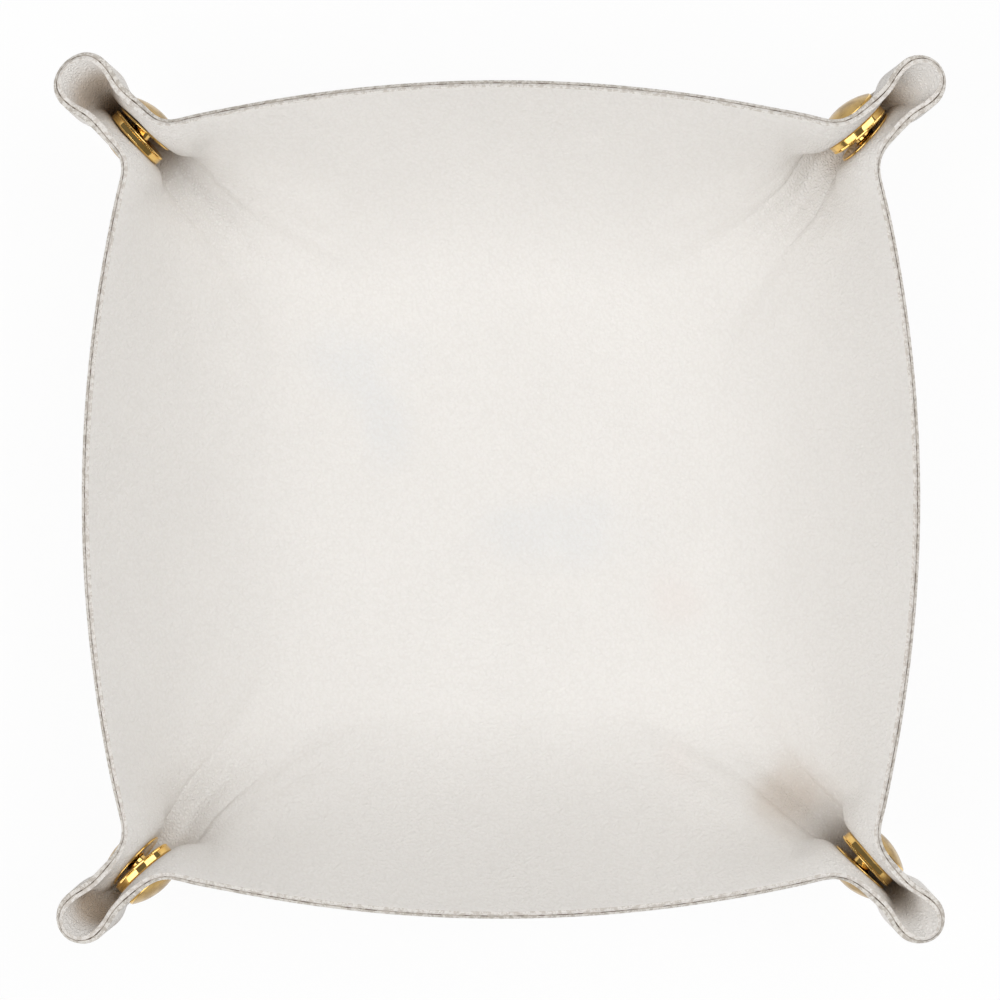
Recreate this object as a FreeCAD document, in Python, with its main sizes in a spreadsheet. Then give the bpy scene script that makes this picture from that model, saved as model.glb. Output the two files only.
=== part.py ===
"""Leather valet tray: two glued leather layers, folded up at the corners and held by press studs.

The frame stands at the middle of the underside, +Z up, in millimetres.
"""

import FreeCAD, Part
import math
import os
import re

import Sketcher
from FreeCAD import Placement, Rotation, Vector

# Driving sizes, in millimetres and degrees
SIZES = [
    ("side_half", 93.5, "centre of the tray to the glue line at the middle of a side's rim"),
    ("side_radius", 303.0, "radius of the outward bow of each side's rim"),
    ("shoulder_inset", 21.5, "where the bowed rim gives way to the corner's bend"),
    ("wall_run", 47.0, "width of the rising wall in plan at the middle of a side"),
    ("foot_radius", 22.0, "corner radius of the flat base"),
    ("rim_height", 36.0, "height of the rim at the middle of a side"),
    ("tip_rise", 2.0, "how much higher the tip of an ear stands"),
    ("tip_overhang", 5.7, "ear tip past the corner of the square that the sides make"),
    ("bulb_setback", 5.2, "ear tip back to the widest place of the ear's loop"),
    ("bulb_half", 5.0, "half width of the ear's loop there"),
    ("waist_setback", 13.2, "ear tip back to the narrowest place of the ear"),
    ("waist_half", 3.85, "half width of the ear there"),
    ("shoulder_pull", 4.0, "how far the bend between side and ear keeps to the side's line"),
    ("waist_pull", 6.0, "how far it keeps to the ear's line"),
    ("layer_thickness", 1.1, "thickness of each leather layer"),
    ("snap_setback", 21.2, "ear tip back to the axis of the press stud"),
    ("snap_drop", 10.8, "rim down to the axis of the press stud"),
    ("snap_splay", 3.0, "turn of each half of the press stud towards the tray"),
    ("fold_room", 2.7, "press stud's lower edge down to the glue line of the fold"),
    ("flat_margin", 1.2, "leather kept flat past the edge of the discs"),
    ("flat_blend", 4.5, "width over which the flat place runs out"),
    ("disc_radius", 7.5, "radius of the socket and of the caps"),
    ("disc_edge", 0.6, "rounding of their edges"),
    ("disc_room", 1.16, "socket's front to the stud's flange, on the axis"),
    ("socket_plate", 0.45, "back plate of the socket"),
    ("rivet_height", 0.25, "rolled head of the socket's post, over that plate"),
    ("rivet_roll", 0.9, "how far that head stands out from the post"),
    ("knob_room", 0.31, "rolled head to the end of the stud's knob"),
    ("head_height", 0.5, "height of the knob's head"),
    ("head_room", 0.04, "knob's head to the spring wires' groove"),
    ("head_step", 0.55, "how far the knob's head stands out from its neck"),
    ("mouth_room", 0.45, "room round the knob's head in the socket's mouth"),
    ("groove_depth", 1.0, "depth of the groove for the spring wires"),
    ("wire_radius", 0.25, "radius of a spring wire"),
    ("wire_room", 0.15, "knob's neck to each spring wire"),
    ("wire_lip", 0.15, "socket's front lip over the groove"),
    ("flange_step", 0.3, "how far the stud's flange stays inside the socket's edge"),
    ("flange_thickness", 0.5, "thickness of the stud's flange"),
    ("neck_wall", 0.75, "wall of the knob's neck round the post"),
    ("cap_height", 2.9, "height of the domed caps"),
    ("post_radius", 1.4, "radius of the posts through the leather"),
    ("post_fit", 0.05, "room round the posts and wires"),
    ("seat_fit", 0.02, "room between the discs and the leather"),
]

# Sizes of the press stud that follow from the driving ones
NECK_RADIUS = "(post_radius + post_fit + neck_wall)"
HEAD_RADIUS = f"({NECK_RADIUS} + head_step)"
MOUTH_RADIUS = f"({HEAD_RADIUS} + mouth_room)"
GROOVE_RADIUS = f"({MOUTH_RADIUS} + groove_depth)"
WIRE_SPREAD = f"({NECK_RADIUS} + wire_room + wire_radius)"
FLANGE_RADIUS = "(disc_radius - flange_step)"
RIVET_TOP = "(socket_plate + rivet_height)"
GROOVE_BOTTOM = f"({RIVET_TOP} + knob_room + head_height + head_room)"
GROOVE_TOP = f"({GROOVE_BOTTOM} + 2 * wire_radius + 2 * post_fit)"
SOCKET_THICKNESS = f"({GROOVE_TOP} + wire_lip)"
KNOB_TOP = f"({SOCKET_THICKNESS} + disc_room + flange_thickness - {RIVET_TOP} - knob_room)"
HELD_LEATHER = "(2 * layer_thickness + 2 * seat_fit)"
SNAP_GAP = f"({SOCKET_THICKNESS} + disc_room + flange_thickness + 2 * seat_fit)"

CORNERS = ("back_right", "back_left", "front_left", "front_right")
QUARTER_TURN = 90.0
ROOT_TWO = math.sqrt(2.0)

doc = FreeCAD.newDocument("valet_tray")
sizes = doc.addObject("Spreadsheet::Sheet", "sizes")
for row, (alias, value, note) in enumerate(SIZES, start=1):
    sizes.set(f"A{row}", alias)
    sizes.set(f"B{row}", str(value))
    sizes.set(f"C{row}", note)
    sizes.setAlias(f"B{row}", alias)
doc.recompute()


def size(alias):
    """A driving size from the sheet."""
    return float(sizes.get(alias))


def bound(expression):
    """An expression over the sheet's names, as the document writes it."""
    return re.sub(r"[a-z]\w*", r"sizes.\g<0>", expression)


def worked_out(expression):
    """The value of an expression over the sheet's names."""
    return float(sizes.evalExpression(bound(expression)))


# Places that follow from the driving sizes, along a diagonal of the tray
LAYER = size("layer_thickness")
TIP_REACH = ROOT_TWO * size("side_half") + size("tip_overhang")
SNAP_REACH = TIP_REACH - size("snap_setback")
SNAP_HEIGHT = size("rim_height") - size("snap_drop")
SNAP_HALF = worked_out(SNAP_GAP) / 2.0
SPLAY = math.radians(size("snap_splay"))

# Shape of the rising walls: shares of a wall's run and rise at the inner control points
# of its profile at the middle of a side
SIDE_PROFILE = ((0.228, 0.0), (0.453, 0.186), (0.664, 0.472), (0.85, 0.772))

# An ear's crease ramps up to the press stud, dips under it and flares at the tip: its
# runs, of which the third follows from the press stud, the ramp's and dip's rise as
# shares of the rise there, and the flare's as a share of what is left to the tip
CREASE_RUNS = (0.664, 0.549, 0.0, 0.799)
THIRD_POINT = (0.0, 0.0, 1.0, 0.0)
CREASE_RAMP = 2.15
CREASE_DIP = -0.37
CREASE_FLARE = 0.435

# Shares of the rim, from an ear's tip to the middle of a side, over which the tip's
# extra height and the crease's own profile run out
TIP_RISE_SHARE = 0.5
CREASE_SHARE = 0.625

# The leather's surface is a net of control points, closer together round the ears and
# at the foot of the wall; its first rows lie flat with the base
RIM_STEPS = 44
WALL_STEPS = 40
FLAT_ROWS = 2
RIM_EVENNESS = 0.42
WALL_CROWDING = 0.5
FOOT_SPREAD = 1.0
CURVE_STEPS = 60
DEGREE = 3

# How near two places are that count as the same
SAME_PLACE = 1e-5


def bezier(points, share):
    """A point of a curve with any number of control points of any dimension."""
    last = len(points) - 1
    counts = [math.comb(last, k) for k in range(last + 1)]
    weights = [n * (1.0 - share) ** (last - k) * share**k for k, n in enumerate(counts)]
    return tuple(sum(w * p[k] for w, p in zip(weights, points)) for k in range(len(points[0])))


def rim_outline():
    """The rim's glue line in plan from an ear's tip to the middle of a side.

    Points are (along, across): along the diagonal and square to it.
    """
    bulb = TIP_REACH - size("bulb_setback")
    waist = TIP_REACH - size("waist_setback")
    side, radius = size("side_half"), size("side_radius")
    shoulder_x = side - size("shoulder_inset")
    shoulder_y = side - shoulder_x**2 / (2 * radius)
    shoulder = ((shoulder_x + shoulder_y) / ROOT_TWO, (shoulder_y - shoulder_x) / ROOT_TWO)
    slope = shoulder_x / radius
    heading = ((slope - 1) / ROOT_TWO, (slope + 1) / ROOT_TWO)
    half_bulb = (bulb - waist) / 2.0
    outline = []
    for step in range(CURVE_STEPS):
        angle = math.pi / 2 * step / CURVE_STEPS
        along = bulb + size("bulb_setback") * math.cos(angle)
        outline.append((along, size("bulb_half") * math.sin(angle)))
    neck = (
        (bulb, size("bulb_half")),
        (bulb - half_bulb, size("bulb_half")),
        (waist + half_bulb, size("waist_half")),
        (waist, size("waist_half")),
    )
    bend = (
        (waist, size("waist_half")),
        (waist - size("waist_pull"), size("waist_half")),
        tuple(s - size("shoulder_pull") * h for s, h in zip(shoulder, heading)),
        shoulder,
    )
    for curve in (neck, bend):
        outline += [bezier(curve, step / CURVE_STEPS) for step in range(CURVE_STEPS)]
    for step in range(CURVE_STEPS + 1):
        x = shoulder_x * (1 - step / CURVE_STEPS)
        y = side - x**2 / (2 * radius)
        outline.append(((x + y) / ROOT_TWO, (y - x) / ROOT_TWO))
    return outline


def lengths_along(outline):
    """How far along the outline each of its points lies."""
    lengths = [0.0]
    for before, after in zip(outline, outline[1:]):
        lengths.append(lengths[-1] + math.dist(before, after))
    return lengths


def point_at(outline, lengths, length):
    """The point of the outline that lies this far along it."""
    place = next((k for k in range(1, len(lengths)) if lengths[k] >= length), len(lengths) - 1)
    share = (length - lengths[place - 1]) / (lengths[place] - lengths[place - 1])
    before, after = outline[place - 1], outline[place]
    return tuple(b + share * (a - b) for b, a in zip(before, after))


def foot_point(share):
    """Where the wall leaves the flat base, from the diagonal (0) to the middle of a side (1)."""
    half = size("side_half") - size("wall_run")
    radius = size("foot_radius")
    arc = radius * math.pi / 4
    length = share * (arc + half - radius)
    if length < arc:
        angle = length / radius
        middle = (half - radius) * ROOT_TWO
        return (middle + radius * math.cos(angle), radius * math.sin(angle))
    x = half - radius - (length - arc)
    return ((x + half) / ROOT_TWO, (half - x) / ROOT_TWO)


def smooth(share):
    """An even passage from 0 to 1."""
    share = min(max(share, 0.0), 1.0)
    return share * share * (3.0 - 2.0 * share)


def drawn_in(along, across, height):
    """Draws an ear's wall in to the flat place that the press stud holds."""
    flat = SNAP_HALF + LAYER / math.cos(SPLAY) + math.tan(SPLAY) * (SNAP_REACH - along)
    distance = math.hypot(along - SNAP_REACH, height - SNAP_HEIGHT)
    reach = size("disc_radius") + size("flat_margin")
    pull = 1.0 - smooth((distance - reach) / size("flat_blend"))
    return across - pull * max(0.0, across - flat)


def crease_profile():
    """The crease's profile, which passes under the outer half of the press stud."""
    foot = foot_point(0.0)[0]
    slant = size("disc_radius") / ROOT_TWO
    height = SNAP_HEIGHT - slant - size("fold_room")
    run = (SNAP_REACH + slant - foot) / (TIP_REACH - foot)
    climb = (height - LAYER) / (size("rim_height") + size("tip_rise") - LAYER)
    flare = climb + CREASE_FLARE * (1 - climb)
    rises = (0.0, CREASE_RAMP * climb, CREASE_DIP * climb, flare)
    known = ((0.0, 0.0, 0.0), *zip(CREASE_RUNS, rises, THIRD_POINT), (1.0, 1.0, 0.0))
    low, high = 0.0, 1.0
    for _ in range(CURVE_STEPS):
        share = (low + high) / 2
        without, reached, weight = bezier(known, share)
        low, high = (share, high) if reached < climb else (low, share)
    runs = [a + b * (run - without) / weight for a, b in zip(CREASE_RUNS, THIRD_POINT)]
    return list(zip(runs, rises))


def half_net():
    """The glue face's control points from an ear's crease to the middle of a side."""
    outline = rim_outline()
    lengths = lengths_along(outline)
    crease_shape = crease_profile()
    net = []
    for column in range(RIM_STEPS + 1):
        even = column / RIM_STEPS
        share = RIM_EVENNESS * even + (1 - RIM_EVENNESS) * even**3
        rim = point_at(outline, lengths, share * lengths[-1])
        foot = foot_point(share + FOOT_SPREAD * share * (1 - share) ** 2)
        rim_height = size("rim_height") + size("tip_rise") * (1 - smooth(share / TIP_RISE_SHARE))
        crease = 1 - smooth(share / CREASE_SHARE)
        inner_points = (
            (a[0] + crease * (b[0] - a[0]), a[1] + crease * (b[1] - a[1]))
            for a, b in zip(SIDE_PROFILE, crease_shape)
        )
        profile = ((0.0, 0.0), *inner_points, (1.0, 1.0))
        points = []
        for row in range(WALL_STEPS + 1):
            even = row / WALL_STEPS
            run, climb = bezier(profile, even + WALL_CROWDING * even * (1 - even))
            along = foot[0] + run * (rim[0] - foot[0])
            across = foot[1] + run * (rim[1] - foot[1])
            height = LAYER + climb * (rim_height - LAYER)
            if row < FLAT_ROWS:
                height = LAYER
            points.append((along, drawn_in(along, across, height), height))
        net.append(points)
    return net


def in_plan(along, across, height):
    """A point given along and square to the diagonal, in the tray's own frame."""
    return Vector((along - across) / ROOT_TWO, (along + across) / ROOT_TWO, height)


def with_ends(net):
    """The net of a quarter with one column more at each end, mirrored past the sides' middles."""
    past_right = [Vector(p.x, -p.y, p.z) for p in net[1]]
    past_left = [Vector(-p.x, p.y, p.z) for p in net[-2]]
    return [past_right] + net + [past_left]


def quarter_net():
    """The glue face's control points round one ear, with one column past each end."""
    half = half_net()
    left = [[in_plan(*p) for p in column] for column in half]
    right = [[in_plan(a, -b, z) for a, b, z in column] for column in half]
    return with_ends(right[:0:-1] + left)


def normals(net):
    """The inward normal at each control point inside the two extra columns."""
    found = []
    for column in range(1, len(net) - 1):
        line = []
        for row in range(len(net[column])):
            if row < FLAT_ROWS:
                line.append(Vector(0, 0, 1))
                continue
            above = min(row + 1, len(net[column]) - 1)
            around = net[column + 1][row] - net[column - 1][row]
            upward = net[column][above] - net[column][row - 1]
            line.append(upward.cross(around).normalize())
        found.append(line)
    return found


def offset_net(net, distance):
    """The net moved along its normals, with its extra columns mirrored anew."""
    moved = [
        [p + n * distance for p, n in zip(column, line)]
        for column, line in zip(net[1:-1], normals(net))
    ]
    return with_ends(moved)


def spline_surface(net, row_degree):
    """A surface over the net: even knots round the ear, and closed off at foot and rim."""
    columns, rows = len(net), len(net[0])
    surface = Part.BSplineSurface()
    inner_knots = rows - row_degree
    surface.buildFromPolesMultsKnots(
        net,
        [1] * (columns + DEGREE + 1),
        [row_degree + 1] + [1] * (inner_knots - 1) + [row_degree + 1],
        [float(k) for k in range(columns + DEGREE + 1)],
        [float(k) for k in range(inner_knots + 1)],
        False,
        False,
        DEGREE,
        row_degree,
    )
    surface.segment(float(DEGREE), float(columns), 0.0, float(inner_knots))
    return surface


def on_plane(shape, axis):
    """Whether a shape lies in the plane across the tray's X or Y axis."""
    box = shape.BoundBox
    low, high = (box.XMin, box.XMax) if axis == "x" else (box.YMin, box.YMax)
    return max(abs(low), abs(high)) < SAME_PLACE


def leather_quarter(lower, upper):
    """One ear and a quarter of the base between two faces of the leather, as a solid."""
    faces = [spline_surface(net, DEGREE).toShape() for net in (lower, upper)]
    rim = [[low[-1], high[-1]] for low, high in zip(lower, upper)]
    faces.append(spline_surface(rim, 1).toShape())
    for face, net in zip(faces[:2], (lower, upper)):
        height = net[0][0].z
        foot = min(face.Edges, key=lambda edge: edge.BoundBox.ZMax)
        ends = [vertex.Point for vertex in foot.Vertexes]
        middle = Vector(0, 0, height)
        spokes = [Part.makeLine(ends[0], middle), Part.makeLine(middle, ends[1])]
        faces.append(Part.Face(Part.Wire(Part.sortEdges([foot] + spokes)[0])))
    for axis in ("x", "y"):
        edges = [edge for face in faces for edge in face.Edges if on_plane(edge, axis)]
        middle = Part.makeLine(Vector(0, 0, lower[0][0].z), Vector(0, 0, upper[0][0].z))
        faces.append(Part.Face(Part.Wire(Part.sortEdges(edges + [middle])[0])))
    shell = Part.Shell(faces)
    shell.sewShape()
    return Part.Solid(shell)


def snap_seat(side):
    """The middle of a press stud's half on the leather's inner face, and the way it faces.

    side is 1 for the half across the diagonal to the left, -1 for the other.
    """
    seat = in_plan(SNAP_REACH, side * SNAP_HALF, SNAP_HEIGHT)
    faces = in_plan(-math.sin(SPLAY), -side * math.cos(SPLAY), 0.0)
    return seat, faces


def leather_layer(lower, upper):
    """A whole leather layer with the holes for the posts."""
    quarter = leather_quarter(lower, upper)
    radius = size("post_radius") + size("post_fit")
    spare = LAYER / 2
    for side in (1, -1):
        seat, faces = snap_seat(side)
        punch = Part.makeCylinder(radius, 2 * (LAYER + spare), seat + faces * spare, faces * -1)
        quarter = quarter.cut(punch)
    outside = [f for f in quarter.Faces if not on_plane(f, "x") and not on_plane(f, "y")]
    all_round = []
    for turn in range(4):
        for face in outside:
            turned = face.copy()
            turned.rotate(Vector(0, 0, 0), Vector(0, 0, 1), QUARTER_TURN * turn)
            all_round.append(turned)
    shell = Part.Shell(all_round)
    shell.sewShape()
    solid = Part.Solid(shell).removeSplitter()
    if solid.Volume < 0:
        solid.reverse()
    return solid


def add_leather():
    """The two leather layers, which share their glue face."""
    glue = quarter_net()
    inside = offset_net(glue, LAYER)
    outside = offset_net(glue, -LAYER)
    for label, lower, upper in (("inner_leather", glue, inside), ("outer_leather", outside, glue)):
        layer = doc.addObject("Part::Feature", label)
        layer.Label = label
        layer.Shape = leather_layer(lower, upper)
        layer.Placement = Placement()
        sub_parts.append(layer)


def turned_body(label, outline, arcs=()):
    """A body turned about its own Z axis.

    outline lists (radius, height) as expressions; arcs gives the numbers of the outline's
    edges that are arcs centred on the axis.
    """
    body = doc.addObject("PartDesign::Body", label)
    body.Label = label
    sketch = body.newObject("Sketcher::SketchObject", label + "_profile")
    plane = next(f for f in body.Origin.OriginFeatures if f.Role == "XZ_Plane")
    sketch.AttachmentSupport = [(plane, "")]
    sketch.MapMode = "FlatFace"
    corners = []
    for pair in outline:
        radius, height = (worked_out(text) for text in pair)
        corners.append(Vector(radius, height, 0))
    count = len(corners)
    for edge in range(count):
        start, end = corners[edge], corners[(edge + 1) % count]
        if edge in arcs:
            centre = Vector(0, dome_centre(start, end), 0)
            circle = Part.Circle(centre, Vector(0, 0, 1), (start - centre).Length)
            angles = sorted(math.atan2(p.y - centre.y, p.x) for p in (start, end))
            sketch.addGeometry(Part.ArcOfCircle(circle, *angles), False)
        else:
            sketch.addGeometry(Part.LineSegment(start, end), False)
    for edge in range(count):
        following = (edge + 1) % count
        sketch.addConstraint(Sketcher.Constraint("Coincident", edge, 2, following, 1))
    for edge in arcs:
        sketch.addConstraint(Sketcher.Constraint("PointOnObject", edge, 3, -2))
    for edge, (radius, height) in enumerate(outline):
        for kind, text, axis in (("DistanceX", radius, -2), ("DistanceY", height, -1)):
            if text == "0":
                sketch.addConstraint(Sketcher.Constraint("PointOnObject", edge, 1, axis))
                continue
            constraint = Sketcher.Constraint(kind, -1, 1, edge, 1, worked_out(text))
            number = sketch.addConstraint(constraint)
            sketch.setExpression(f"Constraints[{number}]", bound(text))
    turn = body.newObject("PartDesign::Revolution", label + "_turn")
    turn.Profile = sketch
    turn.ReferenceAxis = (sketch, ["V_Axis"])
    turn.Angle = 4 * QUARTER_TURN
    doc.recompute()
    return body, turn


def dome_centre(start, end):
    """Height on the axis of the centre of an arc through two points."""
    return (end.x**2 + end.y**2 - start.x**2 - start.y**2) / (2 * (end.y - start.y))


def rounded(body, feature, radius_text, wanted):
    """Rounds the circular edges that lie at one of the wanted (radius, height) places."""
    places = [tuple(worked_out(text) for text in pair) for pair in wanted]
    names = []
    for number, edge in enumerate(feature.Shape.Edges, start=1):
        if not isinstance(edge.Curve, Part.Circle):
            continue
        here = (edge.Curve.Radius, edge.Curve.Center.z)
        if any(math.dist(here, place) < SAME_PLACE for place in places):
            names.append(f"Edge{number}")
    fillet = body.newObject("PartDesign::Fillet", body.Label + "_rounding")
    fillet.Base = (feature, names)
    fillet.Radius = worked_out(radius_text)
    fillet.setExpression("Radius", bound(radius_text))
    body.Tip = fillet
    doc.recompute()


def on_seat(corner, side, height):
    """Placement of a piece of a press stud whose Z axis faces the other half.

    height is where the piece's own zero stands over the back of the socket or flange.
    """
    seat, faces = snap_seat(side)
    height += size("seat_fit")
    across = Vector(0, 0, 1).cross(faces)
    upright = Rotation(across, Vector(0, 0, 1), faces, "ZXY")
    here = Placement(seat + faces * height, upright)
    turn = Placement(Vector(0, 0, 0), Rotation(Vector(0, 0, 1), QUARTER_TURN * corner))
    return turn.multiply(here)


def add_socket(label, placement):
    """The thick ring with its back plate, mouth and groove for the spring wires."""
    body, turn = turned_body(
        label,
        [
            ("post_radius + post_fit", "0"),
            ("disc_radius", "0"),
            ("disc_radius", SOCKET_THICKNESS),
            (MOUTH_RADIUS, SOCKET_THICKNESS),
            (MOUTH_RADIUS, GROOVE_TOP),
            (GROOVE_RADIUS, GROOVE_TOP),
            (GROOVE_RADIUS, GROOVE_BOTTOM),
            (MOUTH_RADIUS, GROOVE_BOTTOM),
            (MOUTH_RADIUS, "socket_plate"),
            ("post_radius + post_fit", "socket_plate"),
        ],
    )
    edges = [("disc_radius", "0"), ("disc_radius", SOCKET_THICKNESS)]
    rounded(body, turn, "disc_edge", edges)
    body.Placement = placement
    sub_parts.append(body)


def add_stud(label, placement):
    """The flange with its hollow knob."""
    head = f"{KNOB_TOP} - head_height"
    body, _ = turned_body(
        label,
        [
            ("post_radius + post_fit", "0"),
            (f"{FLANGE_RADIUS} - flange_thickness / 2", "0"),
            (FLANGE_RADIUS, "flange_thickness / 2"),
            (f"{FLANGE_RADIUS} - flange_thickness / 4", "flange_thickness"),
            (NECK_RADIUS, "flange_thickness"),
            (NECK_RADIUS, head),
            (HEAD_RADIUS, f"{head} + head_height / 4"),
            (HEAD_RADIUS, f"{KNOB_TOP} - head_height / 3"),
            (f"{NECK_RADIUS} + head_step / 2", KNOB_TOP),
            ("post_radius + post_fit", KNOB_TOP),
        ],
    )
    body.Placement = placement
    sub_parts.append(body)


def add_cap(label, placement, post_length, rivet):
    """A domed cap with its post; the post's far end is the piece's zero."""
    end = [("0", "0"), ("post_radius", "0")]
    if rivet:
        end = [
            ("0", "0"),
            ("post_radius + rivet_roll", "0"),
            ("post_radius + rivet_roll", "rivet_height"),
            ("post_radius", "rivet_height"),
        ]
    outline = end + [
        ("post_radius", post_length),
        ("disc_radius - disc_edge", post_length),
        ("disc_radius", f"{post_length} + disc_edge"),
        ("0", f"{post_length} + cap_height"),
    ]
    body, _ = turned_body(label, outline, arcs=(len(outline) - 2,))
    body.Placement = placement
    sub_parts.append(body)


def add_spring_wires(label, placement):
    """The two straight wires that grip the knob's neck, above and below it."""
    chord = f"(({GROOVE_RADIUS} - post_fit)^2 - ({WIRE_SPREAD} + wire_radius)^2)^0.5"
    wires = []
    for number, way in enumerate((1, -1), start=1):
        wire = doc.addObject("Part::Cylinder", f"{label}_{number}")
        wire.setExpression("Radius", bound("wire_radius"))
        wire.setExpression("Height", bound(f"2 * {chord}"))
        doc.recompute()
        wire.Placement = Placement(
            Vector(-wire.Height.Value / 2, way * worked_out(WIRE_SPREAD), 0),
            Rotation(Vector(0, 1, 0), QUARTER_TURN),
        )
        wires.append(wire)
    pair = doc.addObject("Part::Compound", label)
    pair.Label = label
    pair.Links = wires
    doc.recompute()
    pair.Placement = placement
    sub_parts.append(pair)


def add_press_stud(corner, name):
    """The five pieces of the press stud at one corner."""
    groove_middle = worked_out(f"({GROOVE_BOTTOM} + {GROOVE_TOP}) / 2")
    flip = Placement(Vector(0, 0, 0), Rotation(Vector(1, 0, 0), 2 * QUARTER_TURN))
    add_socket(f"{name}_socket", on_seat(corner, 1, 0.0))
    add_spring_wires(f"{name}_spring_wires", on_seat(corner, 1, groove_middle))
    socket_cap = on_seat(corner, 1, worked_out(RIVET_TOP)).multiply(flip)
    add_cap(f"{name}_socket_cap", socket_cap, f"({HELD_LEATHER} + {RIVET_TOP})", True)
    add_stud(f"{name}_stud", on_seat(corner, -1, 0.0))
    stud_cap = on_seat(corner, -1, worked_out(KNOB_TOP)).multiply(flip)
    add_cap(f"{name}_stud_cap", stud_cap, f"({HELD_LEATHER} + {KNOB_TOP})", False)


def check_document():
    """Stops at an object that failed or a shape that is empty or not valid."""
    for item in doc.Objects:
        if "Invalid" in item.State or "Error" in item.State:
            raise RuntimeError(f"{item.Label} failed")
    for item in sub_parts:
        if item.Shape.isNull() or not item.Shape.isValid():
            raise RuntimeError(f"{item.Label} has no valid shape")


sub_parts = []
add_leather()
for corner, name in enumerate(CORNERS):
    add_press_stud(corner, name)
doc.recompute()
check_document()
os.makedirs("parts", exist_ok=True)
for item in sub_parts:
    item.Shape.exportStep(f"parts/{item.Label}.step")
    print(item.Label, len(item.Shape.Solids), round(item.Shape.Volume, 2))
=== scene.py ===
"""Leather valet tray: two glued sheets, pinched into ears at the corners by gold press studs."""

import math

import bpy
import numpy as np
from mathutils import Matrix, Vector


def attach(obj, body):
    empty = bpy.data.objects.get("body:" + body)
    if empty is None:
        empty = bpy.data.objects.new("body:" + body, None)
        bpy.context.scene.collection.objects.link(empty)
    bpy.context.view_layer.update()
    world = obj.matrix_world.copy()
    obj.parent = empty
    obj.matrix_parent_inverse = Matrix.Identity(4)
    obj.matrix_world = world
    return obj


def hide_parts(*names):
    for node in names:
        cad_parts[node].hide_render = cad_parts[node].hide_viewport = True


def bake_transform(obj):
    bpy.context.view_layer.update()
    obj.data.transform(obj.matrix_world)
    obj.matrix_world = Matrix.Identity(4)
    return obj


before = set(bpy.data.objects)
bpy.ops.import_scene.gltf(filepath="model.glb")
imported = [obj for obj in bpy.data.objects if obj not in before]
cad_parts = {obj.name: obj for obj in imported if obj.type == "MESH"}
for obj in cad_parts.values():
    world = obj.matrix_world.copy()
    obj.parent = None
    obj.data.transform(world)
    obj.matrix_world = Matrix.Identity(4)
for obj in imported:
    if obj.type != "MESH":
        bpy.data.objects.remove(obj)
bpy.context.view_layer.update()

MM = 0.001
ROOT_TWO = math.sqrt(2.0)
CORNERS = ("back_right", "back_left", "front_left", "front_right")
TRAY = "tray"

# Sizes of the tray in millimetres, the same as its solids have
SIDE_HALF, SIDE_RADIUS, SHOULDER_INSET = 93.5, 303.0, 21.5
WALL_RUN, FOOT_RADIUS = 47.0, 22.0
RIM_HEIGHT, TIP_RISE = 36.0, 2.0
TIP_OVERHANG, BULB_SETBACK, BULB_HALF = 5.7, 5.2, 5.0
WAIST_SETBACK, WAIST_HALF = 13.2, 3.85
SHOULDER_PULL, WAIST_PULL = 4.0, 6.0
LAYER = 1.1
SNAP_SETBACK, SNAP_DROP, SNAP_HALF = 21.2, 10.8, 2.0
SPLAY = math.radians(3.0)
FLAT_MARGIN, FLAT_BLEND = 1.2, 4.5
DISC_RADIUS = 7.5
POST_RADIUS, HOLE_MARGIN = 1.4, 0.1
SEAT_FIT = 0.02
TIP_REACH = ROOT_TWO * SIDE_HALF + TIP_OVERHANG
SNAP_REACH = TIP_REACH - SNAP_SETBACK
SNAP_HEIGHT = RIM_HEIGHT - SNAP_DROP

# Wall profiles: shares of run and of rise at the inner control points
SIDE_PROFILE = ((0.228, 0.453, 0.664, 0.85), (0.0, 0.186, 0.472, 0.772))
CREASE_PROFILE = ((0.664, 0.549, 0.9307, 0.799), (0.0, 0.9379, -0.1614, 0.6815))
TIP_RISE_SHARE, CREASE_SHARE = 0.5, 0.625

# Net of control points, and how finely the leather is drawn from it
RIM_STEPS, WALL_STEPS, FLAT_ROWS = 44, 40, 2
RIM_EVENNESS, WALL_CROWDING, FOOT_SPREAD = 0.42, 0.5, 1.0
CURVE_STEPS = 60
COLUMNS_PER_SPAN = 2
ROWS = 58

# Cut edge of a layer: rounding at its face, and half of the groove along the glue line
EDGE_ROUND = 0.32
GLUE_HALF, GLUE_DEPTH = 0.15, 0.11

# How the hand-folded ears differ, corner by corner: their roll about the diagonal in degrees,
# how much wider their rim stands at each side, and how strong the painted shade is in the pinch
# and in the tip
EAR_ROLL = (8.0, -3.0, 6.0, 2.0)
EAR_SPREAD = (0.1, 0.9, 0.0, -0.2)
EAR_SHADE = (0.65, 1.0, 0.1, 0.6)
TIP_SHADE = (0.0, 0.7, 0.85, 0.0)

# Where the roll and the spread set in, along the diagonal, beside it and upwards; each passage is
# given as its start and its length
ROLL_ALONG, ROLL_ACROSS = (96.0, 12.0), (8.0, 12.0)
SPREAD_ALONG, SPREAD_UP, SPREAD_HALF = (112.0, 8.0), (SNAP_HEIGHT, 9.0), 4.0

# The rounding of the fold's floor where it runs down from the press stud: the floor's height
# and slope along the diagonal, and how much, how wide and how far its corners are filled
FLOOR_START, FLOOR_HEIGHT, FLOOR_SLOPE = 80.0, 5.2, 0.355
FILL_LEAST, FILL_MOST, FILL_GROWTH = 0.6, 2.0, (78.0, 24.0)
FILL_IN, FILL_OUT, FILL_TOP = (70.0, 12.0), (105.0, 9.0), (3.0, 6.0)
FILL_HALF, FILL_FADE = 4.8, (4.8, 4.0)

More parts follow.
